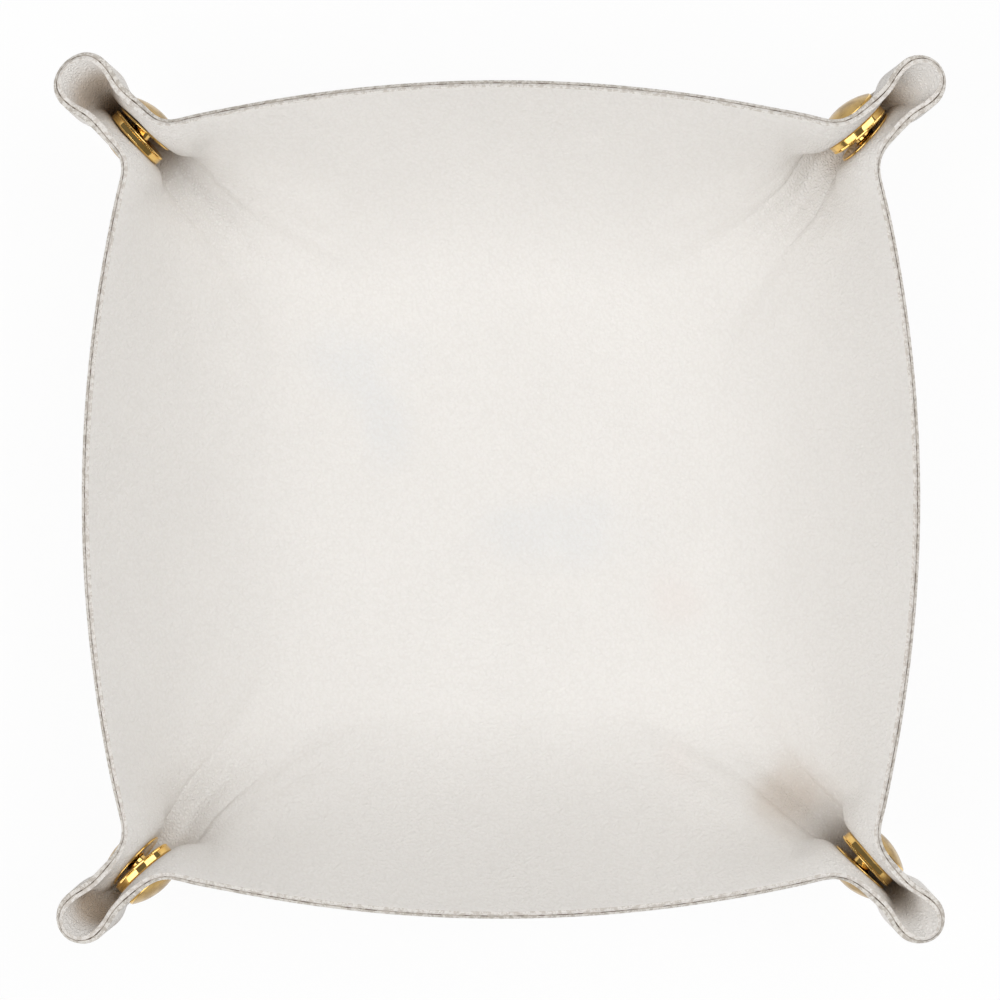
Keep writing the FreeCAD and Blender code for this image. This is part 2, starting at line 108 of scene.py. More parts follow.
# Low ridges beside that floor, and the knee where the wall leaves the press stud, pressed down
RIDGE_START, RIDGE_AWAY, RIDGE_CLOSING, RIDGE_DENT = 74.0, 13.0, 0.25, 0.95
RIDGE_IN, RIDGE_OUT, RIDGE_HALF = (67.0, 9.0), (84.0, 11.0), 2.6
KNEE_ALONG, KNEE_AWAY, KNEE_DENT = 104.0, 8.5, 1.6
KNEE_LENGTH, KNEE_HALF, KNEE_TOP = 4.0, 2.5, (SNAP_HEIGHT + 3.0, 5.0)

# Creased leather, and painted shade in the pinch and in the tip: along the diagonal and
# either beside it or down from the rim
CREASED_ALONG, CREASED_HALF = (72.0, 30.0), 9.0
PINCH_ALONG, PINCH_DEPTH = (104.0, 12.0), (1.0, 13.0)
TIP_ALONG, TIP_DEPTH = (125.5, 4.0), (-2.5, 6.0)

# Where the leather gives way when a press stud is pulled open, along the ear's diagonal
# and square to it; a rolled ear's fold lies some columns of the grid beside its crease
SHOULDER_STILL, SHOULDER_FREE = (97.0, 0.0), (115.0, 0.0)
EAR_SPLIT = 120.0
FOLD_COLUMNS_PER_DEGREE = 0.62


def bezier(points, share):
    """Points of a curve with any number of control points, which may themselves be arrays."""
    degree = len(points) - 1
    total = 0.0
    for k, point in enumerate(points):
        total = total + math.comb(degree, k) * (1.0 - share) ** (degree - k) * share**k * point
    return total


def smooth(share):
    """An even passage from 0 to 1."""
    share = np.clip(share, 0.0, 1.0)
    return share * share * (3.0 - 2.0 * share)


def passage(value, place):
    """The same, from a start and over a length."""
    start, length = place
    return smooth((value - start) / length)


def rim_outline():
    """The rim's glue line in plan from an ear's tip to the middle of a side, as (along, across)."""
    bulb, waist = TIP_REACH - BULB_SETBACK, TIP_REACH - WAIST_SETBACK
    shoulder_x = SIDE_HALF - SHOULDER_INSET
    shoulder_y = SIDE_HALF - shoulder_x**2 / (2 * SIDE_RADIUS)
    shoulder = np.array((shoulder_x + shoulder_y, shoulder_y - shoulder_x)) / ROOT_TWO
    slope = shoulder_x / SIDE_RADIUS
    heading = np.array((slope - 1, slope + 1)) / ROOT_TWO
    middle = (bulb + waist) / 2
    share = np.arange(CURVE_STEPS) / CURVE_STEPS
    angle = math.pi / 2 * share
    tip = np.stack((bulb + BULB_SETBACK * np.cos(angle), BULB_HALF * np.sin(angle)), 1)
    neck = ((bulb, BULB_HALF), (middle, BULB_HALF), (middle, WAIST_HALF), (waist, WAIST_HALF))
    bend = (
        (waist, WAIST_HALF),
        (waist - WAIST_PULL, WAIST_HALF),
        shoulder - SHOULDER_PULL * heading,
        shoulder,
    )
    curves = [bezier(np.array(c, float)[:, None, :], share[:, None]) for c in (neck, bend)]
    x = shoulder_x * (1 - np.arange(CURVE_STEPS + 1) / CURVE_STEPS)
    y = SIDE_HALF - x**2 / (2 * SIDE_RADIUS)
    side = np.stack((x + y, y - x), 1) / ROOT_TWO
    return np.concatenate((tip, *curves, side))


def foot_points(share):
    """Where the wall leaves the flat base, from the diagonal (0) to the middle of a side (1)."""
    half = SIDE_HALF - WALL_RUN
    arc = FOOT_RADIUS * math.pi / 4
    length = share * (arc + half - FOOT_RADIUS)
    angle = length / FOOT_RADIUS
    middle = (half - FOOT_RADIUS) * ROOT_TWO
    x = half - FOOT_RADIUS - (length - arc)
    along = np.where(length < arc, middle + FOOT_RADIUS * np.cos(angle), (x + half) / ROOT_TWO)
    across = np.where(length < arc, FOOT_RADIUS * np.sin(angle), (half - x) / ROOT_TWO)
    return along, across


def half_net():
    """The glue face's control points from an ear's crease to the middle of a side."""
    outline = rim_outline()
    lengths = np.concatenate(([0.0], np.cumsum(np.hypot(*np.diff(outline, axis=0).T))))
    even = np.arange(RIM_STEPS + 1) / RIM_STEPS
    share = (RIM_EVENNESS * even + (1 - RIM_EVENNESS) * even**3)[:, None]
    rim = [np.interp(share * lengths[-1], lengths, outline[:, k]) for k in (0, 1)]
    foot = foot_points(share + FOOT_SPREAD * share * (1 - share) ** 2)
    rim_height = RIM_HEIGHT + TIP_RISE * (1 - smooth(share / TIP_RISE_SHARE))
    crease = 1 - smooth(share / CREASE_SHARE)
    runs, rises = (
        [s + crease * (c - s) for s, c in zip(*both)] for both in zip(SIDE_PROFILE, CREASE_PROFILE)
    )
    row = np.arange(WALL_STEPS + 1)[None, :] / WALL_STEPS
    row = row + WALL_CROWDING * row * (1 - row)
    run = bezier((0.0, *runs, 1.0), row)
    climb = bezier((0.0, *rises, 1.0), row)
    climb[:, :FLAT_ROWS] = 0.0
    along = foot[0] + run * (rim[0] - foot[0])
    across = foot[1] + run * (rim[1] - foot[1])
    height = LAYER + climb * (rim_height - LAYER)
    flat = SNAP_HALF + LAYER / math.cos(SPLAY) + math.tan(SPLAY) * (SNAP_REACH - along)
    distance = np.hypot(along - SNAP_REACH, height - SNAP_HEIGHT)
    pull = 1.0 - smooth((distance - DISC_RADIUS - FLAT_MARGIN) / FLAT_BLEND)
    across = across - pull * np.maximum(0.0, across - flat)
    return np.stack((along, across, height), -1)


def in_plan(points):
    """Points given along and square to the diagonal, in the tray's own frame."""
    along, across, height = np.moveaxis(np.asarray(points, float), -1, 0)
    return np.stack(((along - across) / ROOT_TWO, (along + across) / ROOT_TWO, height), -1)


def with_ends(net):
    """The net of a quarter with a column more at each end, mirrored past the sides' middles."""
    return np.concatenate((net[1:2] * (1, -1, 1), net, net[-2:-1] * (-1, 1, 1)))


def row_steps(grid):
    """Steps across each row of a grid, from the row before it to the row after it."""
    after = np.concatenate((grid[:, 1:], grid[:, -1:]), 1)
    before = np.concatenate((grid[:, :1], grid[:, :-1]), 1)
    return after - before


def net_normals(net):
    """The inward normal at each control point inside the two extra columns."""
    around = net[2:] - net[:-2]
    found = np.cross(row_steps(net[1:-1]), around)
    found /= np.linalg.norm(found, axis=-1, keepdims=True)
    found[:, :FLAT_ROWS] = (0, 0, 1)
    return found


def spline_weights(knots, degree, places):
    """How much each control point counts at each place along a spline."""
    weights = [((places >= a) & (places < b)).astype(float) for a, b in zip(knots, knots[1:])]
    for order in range(1, degree + 1):
        raised = []
        for k in range(len(weights) - 1):
            left, right = knots[k + order] - knots[k], knots[k + order + 1] - knots[k + 1]
            total = np.zeros_like(places)
            if left > 0:
                total = total + (places - knots[k]) / left * weights[k]
            if right > 0:
                total = total + (knots[k + order + 1] - places) / right * weights[k + 1]
            raised.append(total)
        weights = raised
    return np.stack(weights, -1)


def quarter_faces():
    """The outer, glue and inner faces of one quarter of the leather, as grids of points."""
    half = half_net()
    glue = with_ends(in_plan(np.concatenate((half[:0:-1] * (1, -1, 1), half))))
    normals = net_normals(glue)
    outer, inner = (with_ends(glue[1:-1] + way * LAYER * normals) for way in (-1, 1))
    columns, rows = glue.shape[:2]
    spans, last = columns - 3, rows - 3
    just_under = 1.0 - 1e-9
    around = 3 + np.arange(spans * COLUMNS_PER_SPAN) / COLUMNS_PER_SPAN
    upward = np.linspace(0, last, ROWS)
    upward[-1] *= just_under
    round_weights = spline_weights(np.arange(columns + 4.0), 3, around)
    knots = np.concatenate(([0.0] * 3, np.arange(last + 1.0), [float(last)] * 3))
    wall_weights = spline_weights(knots, 3, upward)
    return [
        np.einsum("ac,crk,br->abk", round_weights, net, wall_weights) for net in (outer, glue, inner)
    ]


def turned_round(points, corner):
    """Points of the first corner's quarter, turned to another corner."""
    points = np.asarray(points, float)
    for _ in range(corner):
        points = np.stack((-points[..., 1], points[..., 0], points[..., 2]), -1)
    return points


def all_round(quarters):
    """Four quarters of a face, one after another round the tray."""
    return np.concatenate([turned_round(face, corner) for corner, face in enumerate(quarters)])


def floor_fill(along, across, height):
    """How far the leather beside the fold's floor moves up, so that the fold is a round hollow."""
    side = np.abs(across)
    amount = FILL_LEAST + (FILL_MOST - FILL_LEAST) * passage(along, FILL_GROWTH)
    reach = passage(along, FILL_IN) * (1.0 - passage(along, FILL_OUT))
    width = smooth(side / FILL_HALF) * (1.0 - passage(side, FILL_FADE))
    above = height - FLOOR_HEIGHT - FLOOR_SLOPE * (along - FLOOR_START)
    fill = amount * reach * width * (1.0 - passage(above, FILL_TOP))
    ridge = RIDGE_AWAY - RIDGE_CLOSING * (along - RIDGE_START)
    reach = passage(along, RIDGE_IN) * (1.0 - passage(along, RIDGE_OUT))
    dent = RIDGE_DENT * reach * np.exp(-(((side - ridge) / RIDGE_HALF) ** 2))
    away = ((along - KNEE_ALONG) / KNEE_LENGTH) ** 2 + ((side - KNEE_AWAY) / KNEE_HALF) ** 2
    knee = np.exp(-away)
    return fill - dent - KNEE_DENT * knee * (1.0 - passage(height, KNEE_TOP))


def hand_folded(points, corner):
    """Points of the first corner's quarter, rounded, rolled and spread as at another corner."""
    x, y, height = np.moveaxis(points, -1, 0)
    along, across = (x + y) / ROOT_TWO, (y - x) / ROOT_TWO
    height = height + floor_fill(along, across, height)
    share = passage(along, ROLL_ALONG) * (1.0 - passage(np.abs(across), ROLL_ACROSS))
    upper = passage(height, SPREAD_UP) * passage(along, SPREAD_ALONG)
    across = across + EAR_SPREAD[corner] * upper * np.clip(across / SPREAD_HALF, -1.0, 1.0)
    angle = math.radians(EAR_ROLL[corner]) * share
    drop = height - RIM_HEIGHT
    rolled = across * np.cos(angle) - drop * np.sin(angle)
    raised = RIM_HEIGHT + across * np.sin(angle) + drop * np.cos(angle)
    return in_plan(np.stack((along, rolled, raised), -1))


def edge_rows(upper, lower, glue_is_lower):
    """Rows of points over a layer's cut edge, from its upper face's rim to its lower face's rim.

    The first and last rows of the two faces are drawn back to make room for the edge's
    rounding on the open side and for the groove along the glue line on the other.
    """
    across = lower[:, -1] - upper[:, -1]
    across /= np.linalg.norm(across, axis=-1, keepdims=True)
    rising = upper[:, -1] - upper[:, -2]
    rising /= np.linalg.norm(rising, axis=-1, keepdims=True)
    open_rim, glue_rim = upper[:, -1], lower[:, -1]
    if not glue_is_lower:
        open_rim, glue_rim = glue_rim, open_rim
    inward = across if glue_is_lower else -across
    rounding = []
    for angle in np.radians((0, 30, 60, 90)):
        back = EDGE_ROUND * (1 - math.sin(angle))
        over = EDGE_ROUND * (1 - math.cos(angle))
        rounding.append(open_rim - back * rising + over * inward)
    width = LAYER - EDGE_ROUND - GLUE_HALF
    middle = [open_rim + (EDGE_ROUND + width * share) * inward for share in (0.33, 0.67)]
    lip = glue_rim - GLUE_HALF * inward
    groove = glue_rim - GLUE_DEPTH * rising
    rows = rounding + middle + [lip, groove]
    return np.stack(rows if glue_is_lower else rows[::-1], 1)


# Pieces of a layer: the tray's own part, and at each corner two patches cut where the leather gives
# way
FIXED, HOLE = -1, -2


def cell_owners(glue):
    """Which piece each cell of the leather's grid belongs to."""
    count = glue.shape[0]
    following = np.roll(glue, -1, axis=0)
    middles = (glue[:, :-1] + glue[:, 1:] + following[:, :-1] + following[:, 1:]) / 4
    corners_of = np.stack((glue[:, :-1], glue[:, 1:], following[:, :-1], following[:, 1:]))
    owners = np.full(middles.shape[:2], FIXED)
    quarter = count // 4
    for corner in range(4):
        along, across = diagonal_places(middles, corner)
        reach = diagonal_places(corners_of, corner)[0].max(0)
        column = np.arange(count)[:, None] + np.zeros(middles.shape[1])
        fold = corner * quarter + quarter // 2 - round(FOLD_COLUMNS_PER_DEGREE * EAR_ROLL[corner])
        stud_side = (column >= corner * quarter) & (column < fold)
        owners[stud_side & (reach > SHOULDER_STILL[0])] = 2 * corner
        owners[stud_side & (along > EAR_SPLIT)] = 2 * corner + 1
        for side in (1, -1):
            seat, faces = snap_seat(side, corner)
            offset = corners_of - seat
            offset = offset - (offset @ faces)[..., None] * faces
            near = (np.linalg.norm(offset, axis=-1) < POST_RADIUS + HOLE_MARGIN).any(0)
            same_half = (across > 0) == (side > 0)
            owners[near & same_half & (along > SNAP_REACH - DISC_RADIUS)] = HOLE
    return owners


def diagonal_places(points, corner):
    """How far points lie along a corner's diagonal and square to it."""
    x, y, _ = np.moveaxis(turned_round(points, (4 - corner) % 4), -1, 0)
    return (x + y) / ROOT_TWO, (y - x) / ROOT_TWO


def snap_seat(side, corner):
    """The middle of a press stud's half on the leather's inner face, and the way it faces."""
    seat = in_plan((SNAP_REACH, side * SNAP_HALF, SNAP_HEIGHT))
    faces = in_plan((-math.sin(SPLAY), -side * math.cos(SPLAY), 0.0))
    return turned_round(seat, corner), turned_round(faces, corner)


def clear_selection():
    """Leaves nothing selected, so that an operator acts on the new piece alone."""
    if bpy.context.object and bpy.context.object.mode != "OBJECT":
        bpy.ops.object.mode_set(mode="OBJECT")
    bpy.ops.object.select_all(action="DESELECT")


def take_up(piece):
    """Makes a piece the only selected and the active object."""
    clear_selection()
    piece.select_set(True)
    bpy.context.view_layer.objects.active = piece


# Materials of a leather piece, in the order of its slots
FACE_SLOT, EDGE_SLOT, GLUE_SLOT = 0, 1, 2


def leather_pieces(layer, upper, lower, owners, glue_is_lower, materials):
    """The closed meshes of one leather layer: the tray's own part first, then the patches."""
    edge = edge_rows(upper, lower, glue_is_lower)
    upper, lower = upper.copy(), lower.copy()
    upper[:, -1], lower[:, -1] = edge[:, 0], edge[:, -1]
    columns, rows = upper.shape[:2]
    edge_count = edge.shape[1]
    ring = np.concatenate((upper, edge[:, 1:-1], lower[:, ::-1]), 1)
    section = ring.shape[1]
    points = ring.reshape(-1, 3)
    normals = grid_normals(ring)
    number = np.arange(columns * section).reshape(columns, section)
    slots = np.full(section - 1, FACE_SLOT)
    slots[rows - 1 : rows + edge_count - 2] = EDGE_SLOT
    glue_cell = rows + edge_count - 3 if glue_is_lower else rows - 1
    slots[glue_cell] = GLUE_SLOT
    last = rows - 2
    upper_cells = np.arange(rows - 1)
    row_of = np.concatenate((upper_cells, np.full(edge_count - 1, last), upper_cells[::-1]))
    after = np.roll(number, -1, axis=0)
    quads = np.stack((number[:, :-1], after[:, :-1], after[:, 1:], number[:, 1:]), -1)
    made = []
    for owner in range(FIXED, 8):
        own = owners[:, row_of] == owner
        faces = [tuple(quad) for quad in quads[own]]
        face_slots = list(np.broadcast_to(slots, own.shape)[own])
        walls = border_walls(owners, owner, number, rows, section)
        if owner == FIXED:
            faces.append(tuple(number[::-1, 0]))
            faces.append(tuple(number[:, section - 1]))
            face_slots += [FACE_SLOT, FACE_SLOT]
        name = f"{layer}_leather_sheet"
        if owner != FIXED:
            name = f"{CORNERS[owner // 2]}_{layer}_{'shoulder' if owner % 2 == 0 else 'tip'}"
        made.append(closed_piece(name, points, normals, faces, face_slots, walls, materials))
    return made


def border_walls(owners, owner, number, rows, section):
    """The cut faces that close a piece where it meets its neighbours, from face to face."""
    columns = owners.shape[0]
    low = section - 1
    walls = []
    for column, row in zip(*np.nonzero(owners == owner)):
        after = (column + 1) % columns
        for neighbour, place in (((column - 1) % columns, column), (after, after)):
            if owners[neighbour, row] != owner:
                a, b = number[place, row], number[place, row + 1]
                if row == rows - 2:
                    walls.append(tuple(number[place, row : low - row + 1]))
                else:
                    walls.append((a, b, number[place, low - row - 1], number[place, low - row]))
        for neighbour, place in ((row - 1, row), (row + 1, row + 1)):
            if 0 <= neighbour < rows - 1 and owners[column, neighbour] != owner:
                walls.append((number[column, place], number[after, place],
                              number[after, low - place], number[column, low - place]))
    return walls


def grid_normals(ring):
    """Normals of the closed grid, for seamless shading where its pieces meet."""
    around = np.roll(ring, -1, axis=0) - np.roll(ring, 1, axis=0)
    found = np.cross(row_steps(ring), around)
    found /= np.maximum(np.linalg.norm(found, axis=-1, keepdims=True), 1e-12)
    return found.reshape(-1, 3)


def closed_piece(name, points, normals, faces, face_slots, walls, materials):
    """A mesh of the faces that belong to one piece, with its cut faces and smooth normals."""
    everything = faces + walls
    used = np.unique(np.concatenate([np.asarray(face) for face in everything]))
    place = {old: new for new, old in enumerate(used)}
    mesh = bpy.data.meshes.new(name)
    mesh.from_pydata(points[used] * MM, [], [[place[v] for v in face] for face in everything])
    piece = bpy.data.objects.new(name, mesh)
    bpy.context.scene.collection.objects.link(piece)
    for material in materials:
        mesh.materials.append(material)
    mesh.polygons.foreach_set("material_index", list(face_slots) + [EDGE_SLOT] * len(walls))
    mesh.polygons.foreach_set("use_smooth", [True] * len(faces) + [False] * len(walls))
    attribute = mesh.attributes.new("grid_normal", "FLOAT_VECTOR", "POINT")
    attribute.data.foreach_set("vector", normals[used].ravel())
    take_up(piece)
    bpy.ops.object.mode_set(mode="EDIT")
    bpy.ops.mesh.select_all(action="SELECT")
    bpy.ops.mesh.normals_make_consistent(inside=False)
    bpy.ops.object.mode_set(mode="OBJECT")
    shade_from_grid(mesh)
    return piece


def shade_from_grid(mesh):
    """Gives smooth faces the whole grid's normals, so that borders don't show."""
    stored = np.zeros(len(mesh.vertices) * 3)
    mesh.attributes["grid_normal"].data.foreach_get("vector", stored)
    stored = stored.reshape(-1, 3)
    sides = np.array([face.loop_total for face in mesh.polygons])
    flat = np.repeat(np.array([face.normal for face in mesh.polygons]), sides, axis=0)
    rounded = np.repeat(np.array([face.use_smooth for face in mesh.polygons]), sides)
    corner_points = np.zeros(len(mesh.loops), np.int32)
    mesh.loops.foreach_get("vertex_index", corner_points)
    wanted = stored[corner_points]
    wanted[(wanted * flat).sum(1) < 0] *= -1
    wanted[~rounded] = 0
    mesh.normals_split_custom_set(wanted.tolist())
    mesh.attributes.remove(mesh.attributes["grid_normal"])


def add(tree, kind, settings=None, **values):
    """A shader node with its settings; each value is a constant or another node's output."""
    made = tree.nodes.new(kind)
    for key, value in (settings or {}).items():
        setattr(made, key, value)
    for key, value in values.items():
        plug(tree, made.inputs[key.replace("_", " ")], value)
    return made


def plug(tree, socket, value):
    """Sets an input, or links it."""
    if isinstance(value, bpy.types.NodeSocket):
        tree.links.new(value, socket)
    else:
        socket.default_value = value


def sums(tree, operation, first, second=0.0, third=0.0):
    """A value worked out from others."""
    made = tree.nodes.new("ShaderNodeMath")
    made.operation = operation
    for socket, value in zip(made.inputs, (first, second, third)):
        plug(tree, socket, value)
    return made.outputs[0]


def between(tree, value, low, high, to_low=0.0, to_high=1.0):
    """A value carried smoothly from one range to another."""
    made = add(tree, "ShaderNodeMapRange", {"interpolation_type": "SMOOTHSTEP"}, Value=value)
    ends = {"From Min": low, "From Max": high, "To Min": to_low, "To Max": to_high}
    for name, number in ends.items():
        made.inputs[name].default_value = number
    return made.outputs[0]


def tinted(tree, amount, base, tint):
    """One colour going over to another."""
    made = tree.nodes.new("ShaderNodeMix")
    made.data_type = "RGBA"
    plug(tree, made.inputs[0], amount)
    plug(tree, made.inputs[6], base)
    plug(tree, made.inputs[7], tint)
    return made.outputs[2]


def srgb(red, green, blue):
    """A colour as it looks, in the shader's own terms."""
    shares = [c / 255 for c in (red, green, blue)]
    return [c / 12.92 if c <= 0.04045 else ((c + 0.055) / 1.055) ** 2.4 for c in shares] + [1.0]


# Kinds of sockets that the shader groups have
VALUE, VECTOR = "NodeSocketFloat", "NodeSocketVector"


def group_of(name, inputs, outputs):
    """An empty shader group with named value inputs and outputs."""
    tree = bpy.data.node_groups.new(name, "ShaderNodeTree")
    for label, kind in inputs:
        tree.interface.new_socket(label, in_out="INPUT", socket_type=kind)
    for label, kind in outputs:
        tree.interface.new_socket(label, in_out="OUTPUT", socket_type=kind)
    return tree, tree.nodes.new("NodeGroupInput").outputs, tree.nodes.new("NodeGroupOutput").inputs


def grain_group():
    """Leather grain: fine pebbles everywhere, and a coarser crackle where the leather is folded."""
    tree, given, out = group_of(
        "leather_grain",
        [("Place", VECTOR), ("Pebbles", VALUE), ("Fold", VALUE)],
        [("Height", VALUE), ("Pits", VALUE)],
    )
    wander = add(tree, "ShaderNodeTexNoise", Vector=given["Place"], Scale=260.0, Detail=2.0)
    swayed = add(tree, "ShaderNodeVectorMath", {"operation": "MULTIPLY_ADD"})
    plug(tree, swayed.inputs[0], wander.outputs["Color"])
    plug(tree, swayed.inputs[1], (0.0012, 0.0012, 0.0012))
    plug(tree, swayed.inputs[2], given["Place"])
    pebble = add(
        tree, "ShaderNodeTexVoronoi", {"feature": "SMOOTH_F1"},
        Vector=swayed.outputs[0], Scale=given["Pebbles"], Smoothness=0.35,
    )
    coarse_scale = sums(tree, "MULTIPLY", given["Pebbles"], 0.95)
    crackle = add(
        tree, "ShaderNodeTexVoronoi", {"feature": "DISTANCE_TO_EDGE"},
        Vector=swayed.outputs[0], Scale=coarse_scale,
    )
    lines = between(tree, crackle.outputs["Distance"], 0.0, 0.4)
    pores_scale = sums(tree, "MULTIPLY", given["Pebbles"], 2.3)
    pores = add(tree, "ShaderNodeTexNoise", Vector=given["Place"], Scale=pores_scale, Detail=3.0)
    domes = sums(tree, "SUBTRACT", 1.0, pebble.outputs["Distance"])
    fine = sums(tree, "MULTIPLY_ADD", pores.outputs["Fac"], 1.1, sums(tree, "MULTIPLY", domes, 1.2))
    folded = sums(tree, "MULTIPLY", lines, given["Fold"])
    plug(tree, out["Height"], sums(tree, "ADD", fine, folded))
    pits = sums(tree, "MULTIPLY", sums(tree, "SUBTRACT", 1.0, lines), given["Fold"])
    plug(tree, out["Pits"], pits)
    return tree


def fibre_group():
    """Raw cut leather: short fibres standing out of the edge, and darker specks between them."""
    tree, given, out = group_of(
        "cut_fibres",
        [("Place", VECTOR)],
        [("Height", VALUE), ("Specks", VALUE)],
    )
    place = given["Place"]
    nap = add(tree, "ShaderNodeTexNoise", Vector=place, Scale=2300.0, Detail=4.0, Roughness=0.7)
    clumps = add(tree, "ShaderNodeTexNoise", Vector=place, Scale=900.0, Detail=2.0)
    raised = sums(tree, "MULTIPLY_ADD", clumps.outputs["Fac"], 0.6, nap.outputs["Fac"])
    plug(tree, out["Height"], raised)
    mixed = sums(tree, "MULTIPLY", nap.outputs["Fac"], clumps.outputs["Fac"])
    plug(tree, out["Specks"], between(tree, mixed, 0.30, 0.18))
    return tree


def handling_group():
    """Marks of handling on polished metal: faint wipes and fine scratches."""
    tree, given, out = group_of(
        "handling_marks",
        [("Place", VECTOR)],
        [("Wipes", VALUE), ("Height", VALUE)],
    )
    wipes = add(tree, "ShaderNodeTexNoise", Vector=given["Place"], Scale=320.0, Detail=3.0)
    stretched = add(tree, "ShaderNodeMapping", Vector=given["Place"], Scale=(1.0, 1.0, 9.0))
    fine = add(tree, "ShaderNodeTexNoise", Vector=stretched.outputs[0], Scale=1500.0, Detail=2.0)
    plug(tree, out["Wipes"], between(tree, wipes.outputs["Fac"], 0.35, 0.75))
    plug(tree, out["Height"], fine.outputs["Fac"])
    return tree


def new_material(name):
    """A material's tree, its surface and the object's own coordinates."""
    material = bpy.data.materials.new(name)
    material.use_nodes = True
    tree = material.node_tree
    surface = tree.nodes["Principled BSDF"]
    place = tree.nodes.new("ShaderNodeTexCoord").outputs["Object"]
    return material, tree, surface, place


def use_group(tree, group, **values):
    """Puts a shader group into a material."""
    made = tree.nodes.new("ShaderNodeGroup")
    made.node_tree = group
    for key, value in values.items():
        plug(tree, made.inputs[key], value)
    return made.outputs


def bumped(tree, surface, height, distance):
    """Lets a height show as relief."""
    bump = add(tree, "ShaderNodeBump", Height=height, Distance=distance, Strength=1.0)
    tree.links.new(bump.outputs["Normal"], surface.inputs["Normal"])


def soft_patch(tree, place, middle, reach, ragged):
    """A soft patch of colour on the leather, used for marks and for painted shade, ragged by a
    noise, strongest at its middle.
    """
    spread = add(tree, "ShaderNodeMapping", {"vector_type": "TEXTURE"}, Vector=place)
    spread.inputs["Location"].default_value = [c * MM for c in middle]
    spread.inputs["Scale"].default_value = [c * MM for c in reach]
    ball = add(tree, "ShaderNodeTexGradient", {"gradient_type": "SPHERICAL"})
    plug(tree, ball.inputs["Vector"], spread.outputs[0])
    return between(tree, sums(tree, "MULTIPLY", ball.outputs["Fac"], ragged), 0.08, 0.5)


def leather_face(name, marked):
    """Off-white grained leather with painted shade in the ears; the inner face also has marks of use
    and a patch of painted shade.
    """
    material, tree, surface, place = new_material(name)
    fold = add(tree, "ShaderNodeAttribute", {"attribute_name": "fold"}).outputs["Fac"]
    grain = use_group(tree, GRAIN, Place=place, Pebbles=PEBBLES, Fold=fold)
    cloud = add(tree, "ShaderNodeTexNoise", Vector=place, Scale=38.0, Detail=3.0).outputs["Fac"]
    clouded = between(tree, cloud, 0.3, 0.75)
    colour = tinted(tree, clouded, srgb(*LEATHER_PALE), srgb(*LEATHER_DIM))
    if marked:
        ragged = add(tree, "ShaderNodeTexNoise", Vector=place, Scale=70.0, Detail=4.0)
        for middle, reach, tint, amount in MARKS_AND_PAINTED_SHADE:
            mask = soft_patch(tree, place, middle, reach, ragged.outputs["Fac"])
            colour = tinted(tree, sums(tree, "MULTIPLY", mask, amount), colour, srgb(*tint))
    cracks = sums(tree, "MULTIPLY", grain["Pits"], CRACK_SHARE)
    colour = tinted(tree, cracks, colour, srgb(*CRACK_TINT))
    pores = sums(tree, "MULTIPLY", between(tree, grain["Height"], 1.4, 0.85), PORE_SHARE)
    colour = tinted(tree, pores, colour, srgb(*PORE_TINT))
    # painted shade: the pinch and the tip go brown where shade falls deep in the ear
    pinch_shade_mask = add(tree, "ShaderNodeAttribute", {"attribute_name": "pinch_shade"}).outputs["Fac"]
    colour = tinted(tree, pinch_shade_mask, colour, srgb(*PINCH_SHADE_TINT))
    surface.inputs["Specular IOR Level"].default_value = 0.35
    plug(tree, surface.inputs["Base Color"], colour)
    plug(tree, surface.inputs["Roughness"], between(tree, cloud, 0.2, 0.8, 0.52, 0.64))
    bumped(tree, surface, grain["Height"], GRAIN_RELIEF)
    return material


def cut_edge(name, clean, specks):
    """The raw cut edge of a leather layer."""
    material, tree, surface, place = new_material(name)
    fibres = use_group(tree, FIBRES, Place=place)
    colour = tinted(tree, fibres["Specks"], srgb(*clean), srgb(*specks))
    plug(tree, surface.inputs["Base Color"], colour)
    surface.inputs["Roughness"].default_value = 0.85
    surface.inputs["Specular IOR Level"].default_value = 0.2
    bumped(tree, surface, fibres["Height"], FIBRE_RELIEF)
    return material


def glue_line():
    """The dark line of glue between the layers, broken into dashes."""
    material, tree, surface, place = new_material("glue_line")
    fibres = use_group(tree, FIBRES, Place=place)
    dashes = add(tree, "ShaderNodeTexNoise", Vector=place, Scale=620.0, Detail=1.0).outputs["Fac"]
    dark = between(tree, dashes, 0.46, 0.62)
    colour = tinted(tree, dark, srgb(*GLUE_PALE), srgb(*GLUE_DARK))
    plug(tree, surface.inputs["Base Color"], colour)
    surface.inputs["Roughness"].default_value = 0.8
    bumped(tree, surface, fibres["Height"], GLUE_RELIEF)
    return material


def metal(name, colour, worn, roughness):
    """Polished metal with faint marks of handling."""
    material, tree, surface, place = new_material(name)
    marks = use_group(tree, HANDLING, Place=place)
    wiped = tinted(tree, marks["Wipes"], srgb(*colour), srgb(*worn))
    plug(tree, surface.inputs["Base Color"], wiped)
    surface.inputs["Metallic"].default_value = 1.0
    low, high = roughness
    plug(tree, surface.inputs["Roughness"], between(tree, marks["Wipes"], 0.0, 1.0, low, high))
    bumped(tree, surface, marks["Height"], SCRATCH_RELIEF)
    return material


# Colours of the leather, of its cracks and pores, and of the painted shade in the pinch and the tip
LEATHER_PALE, LEATHER_DIM = (240, 237, 233), (238, 235, 231)
CRACK_TINT, PORE_TINT, PINCH_SHADE_TINT = (176, 164, 152), (224, 219, 213), (178, 160, 140)
CRACK_SHARE, PORE_SHARE = 0.15, 0.22

# Colours of the glue between its dashes and in them
GLUE_PALE, GLUE_DARK = (192, 183, 173), (122, 109, 97)

# Pebbles of the grain per metre, and how high the reliefs stand in metres
PEBBLES = 1350.0
GRAIN_RELIEF, FIBRE_RELIEF, GLUE_RELIEF, SCRATCH_RELIEF = 0.00012, 0.00008, 0.00006, 0.000002
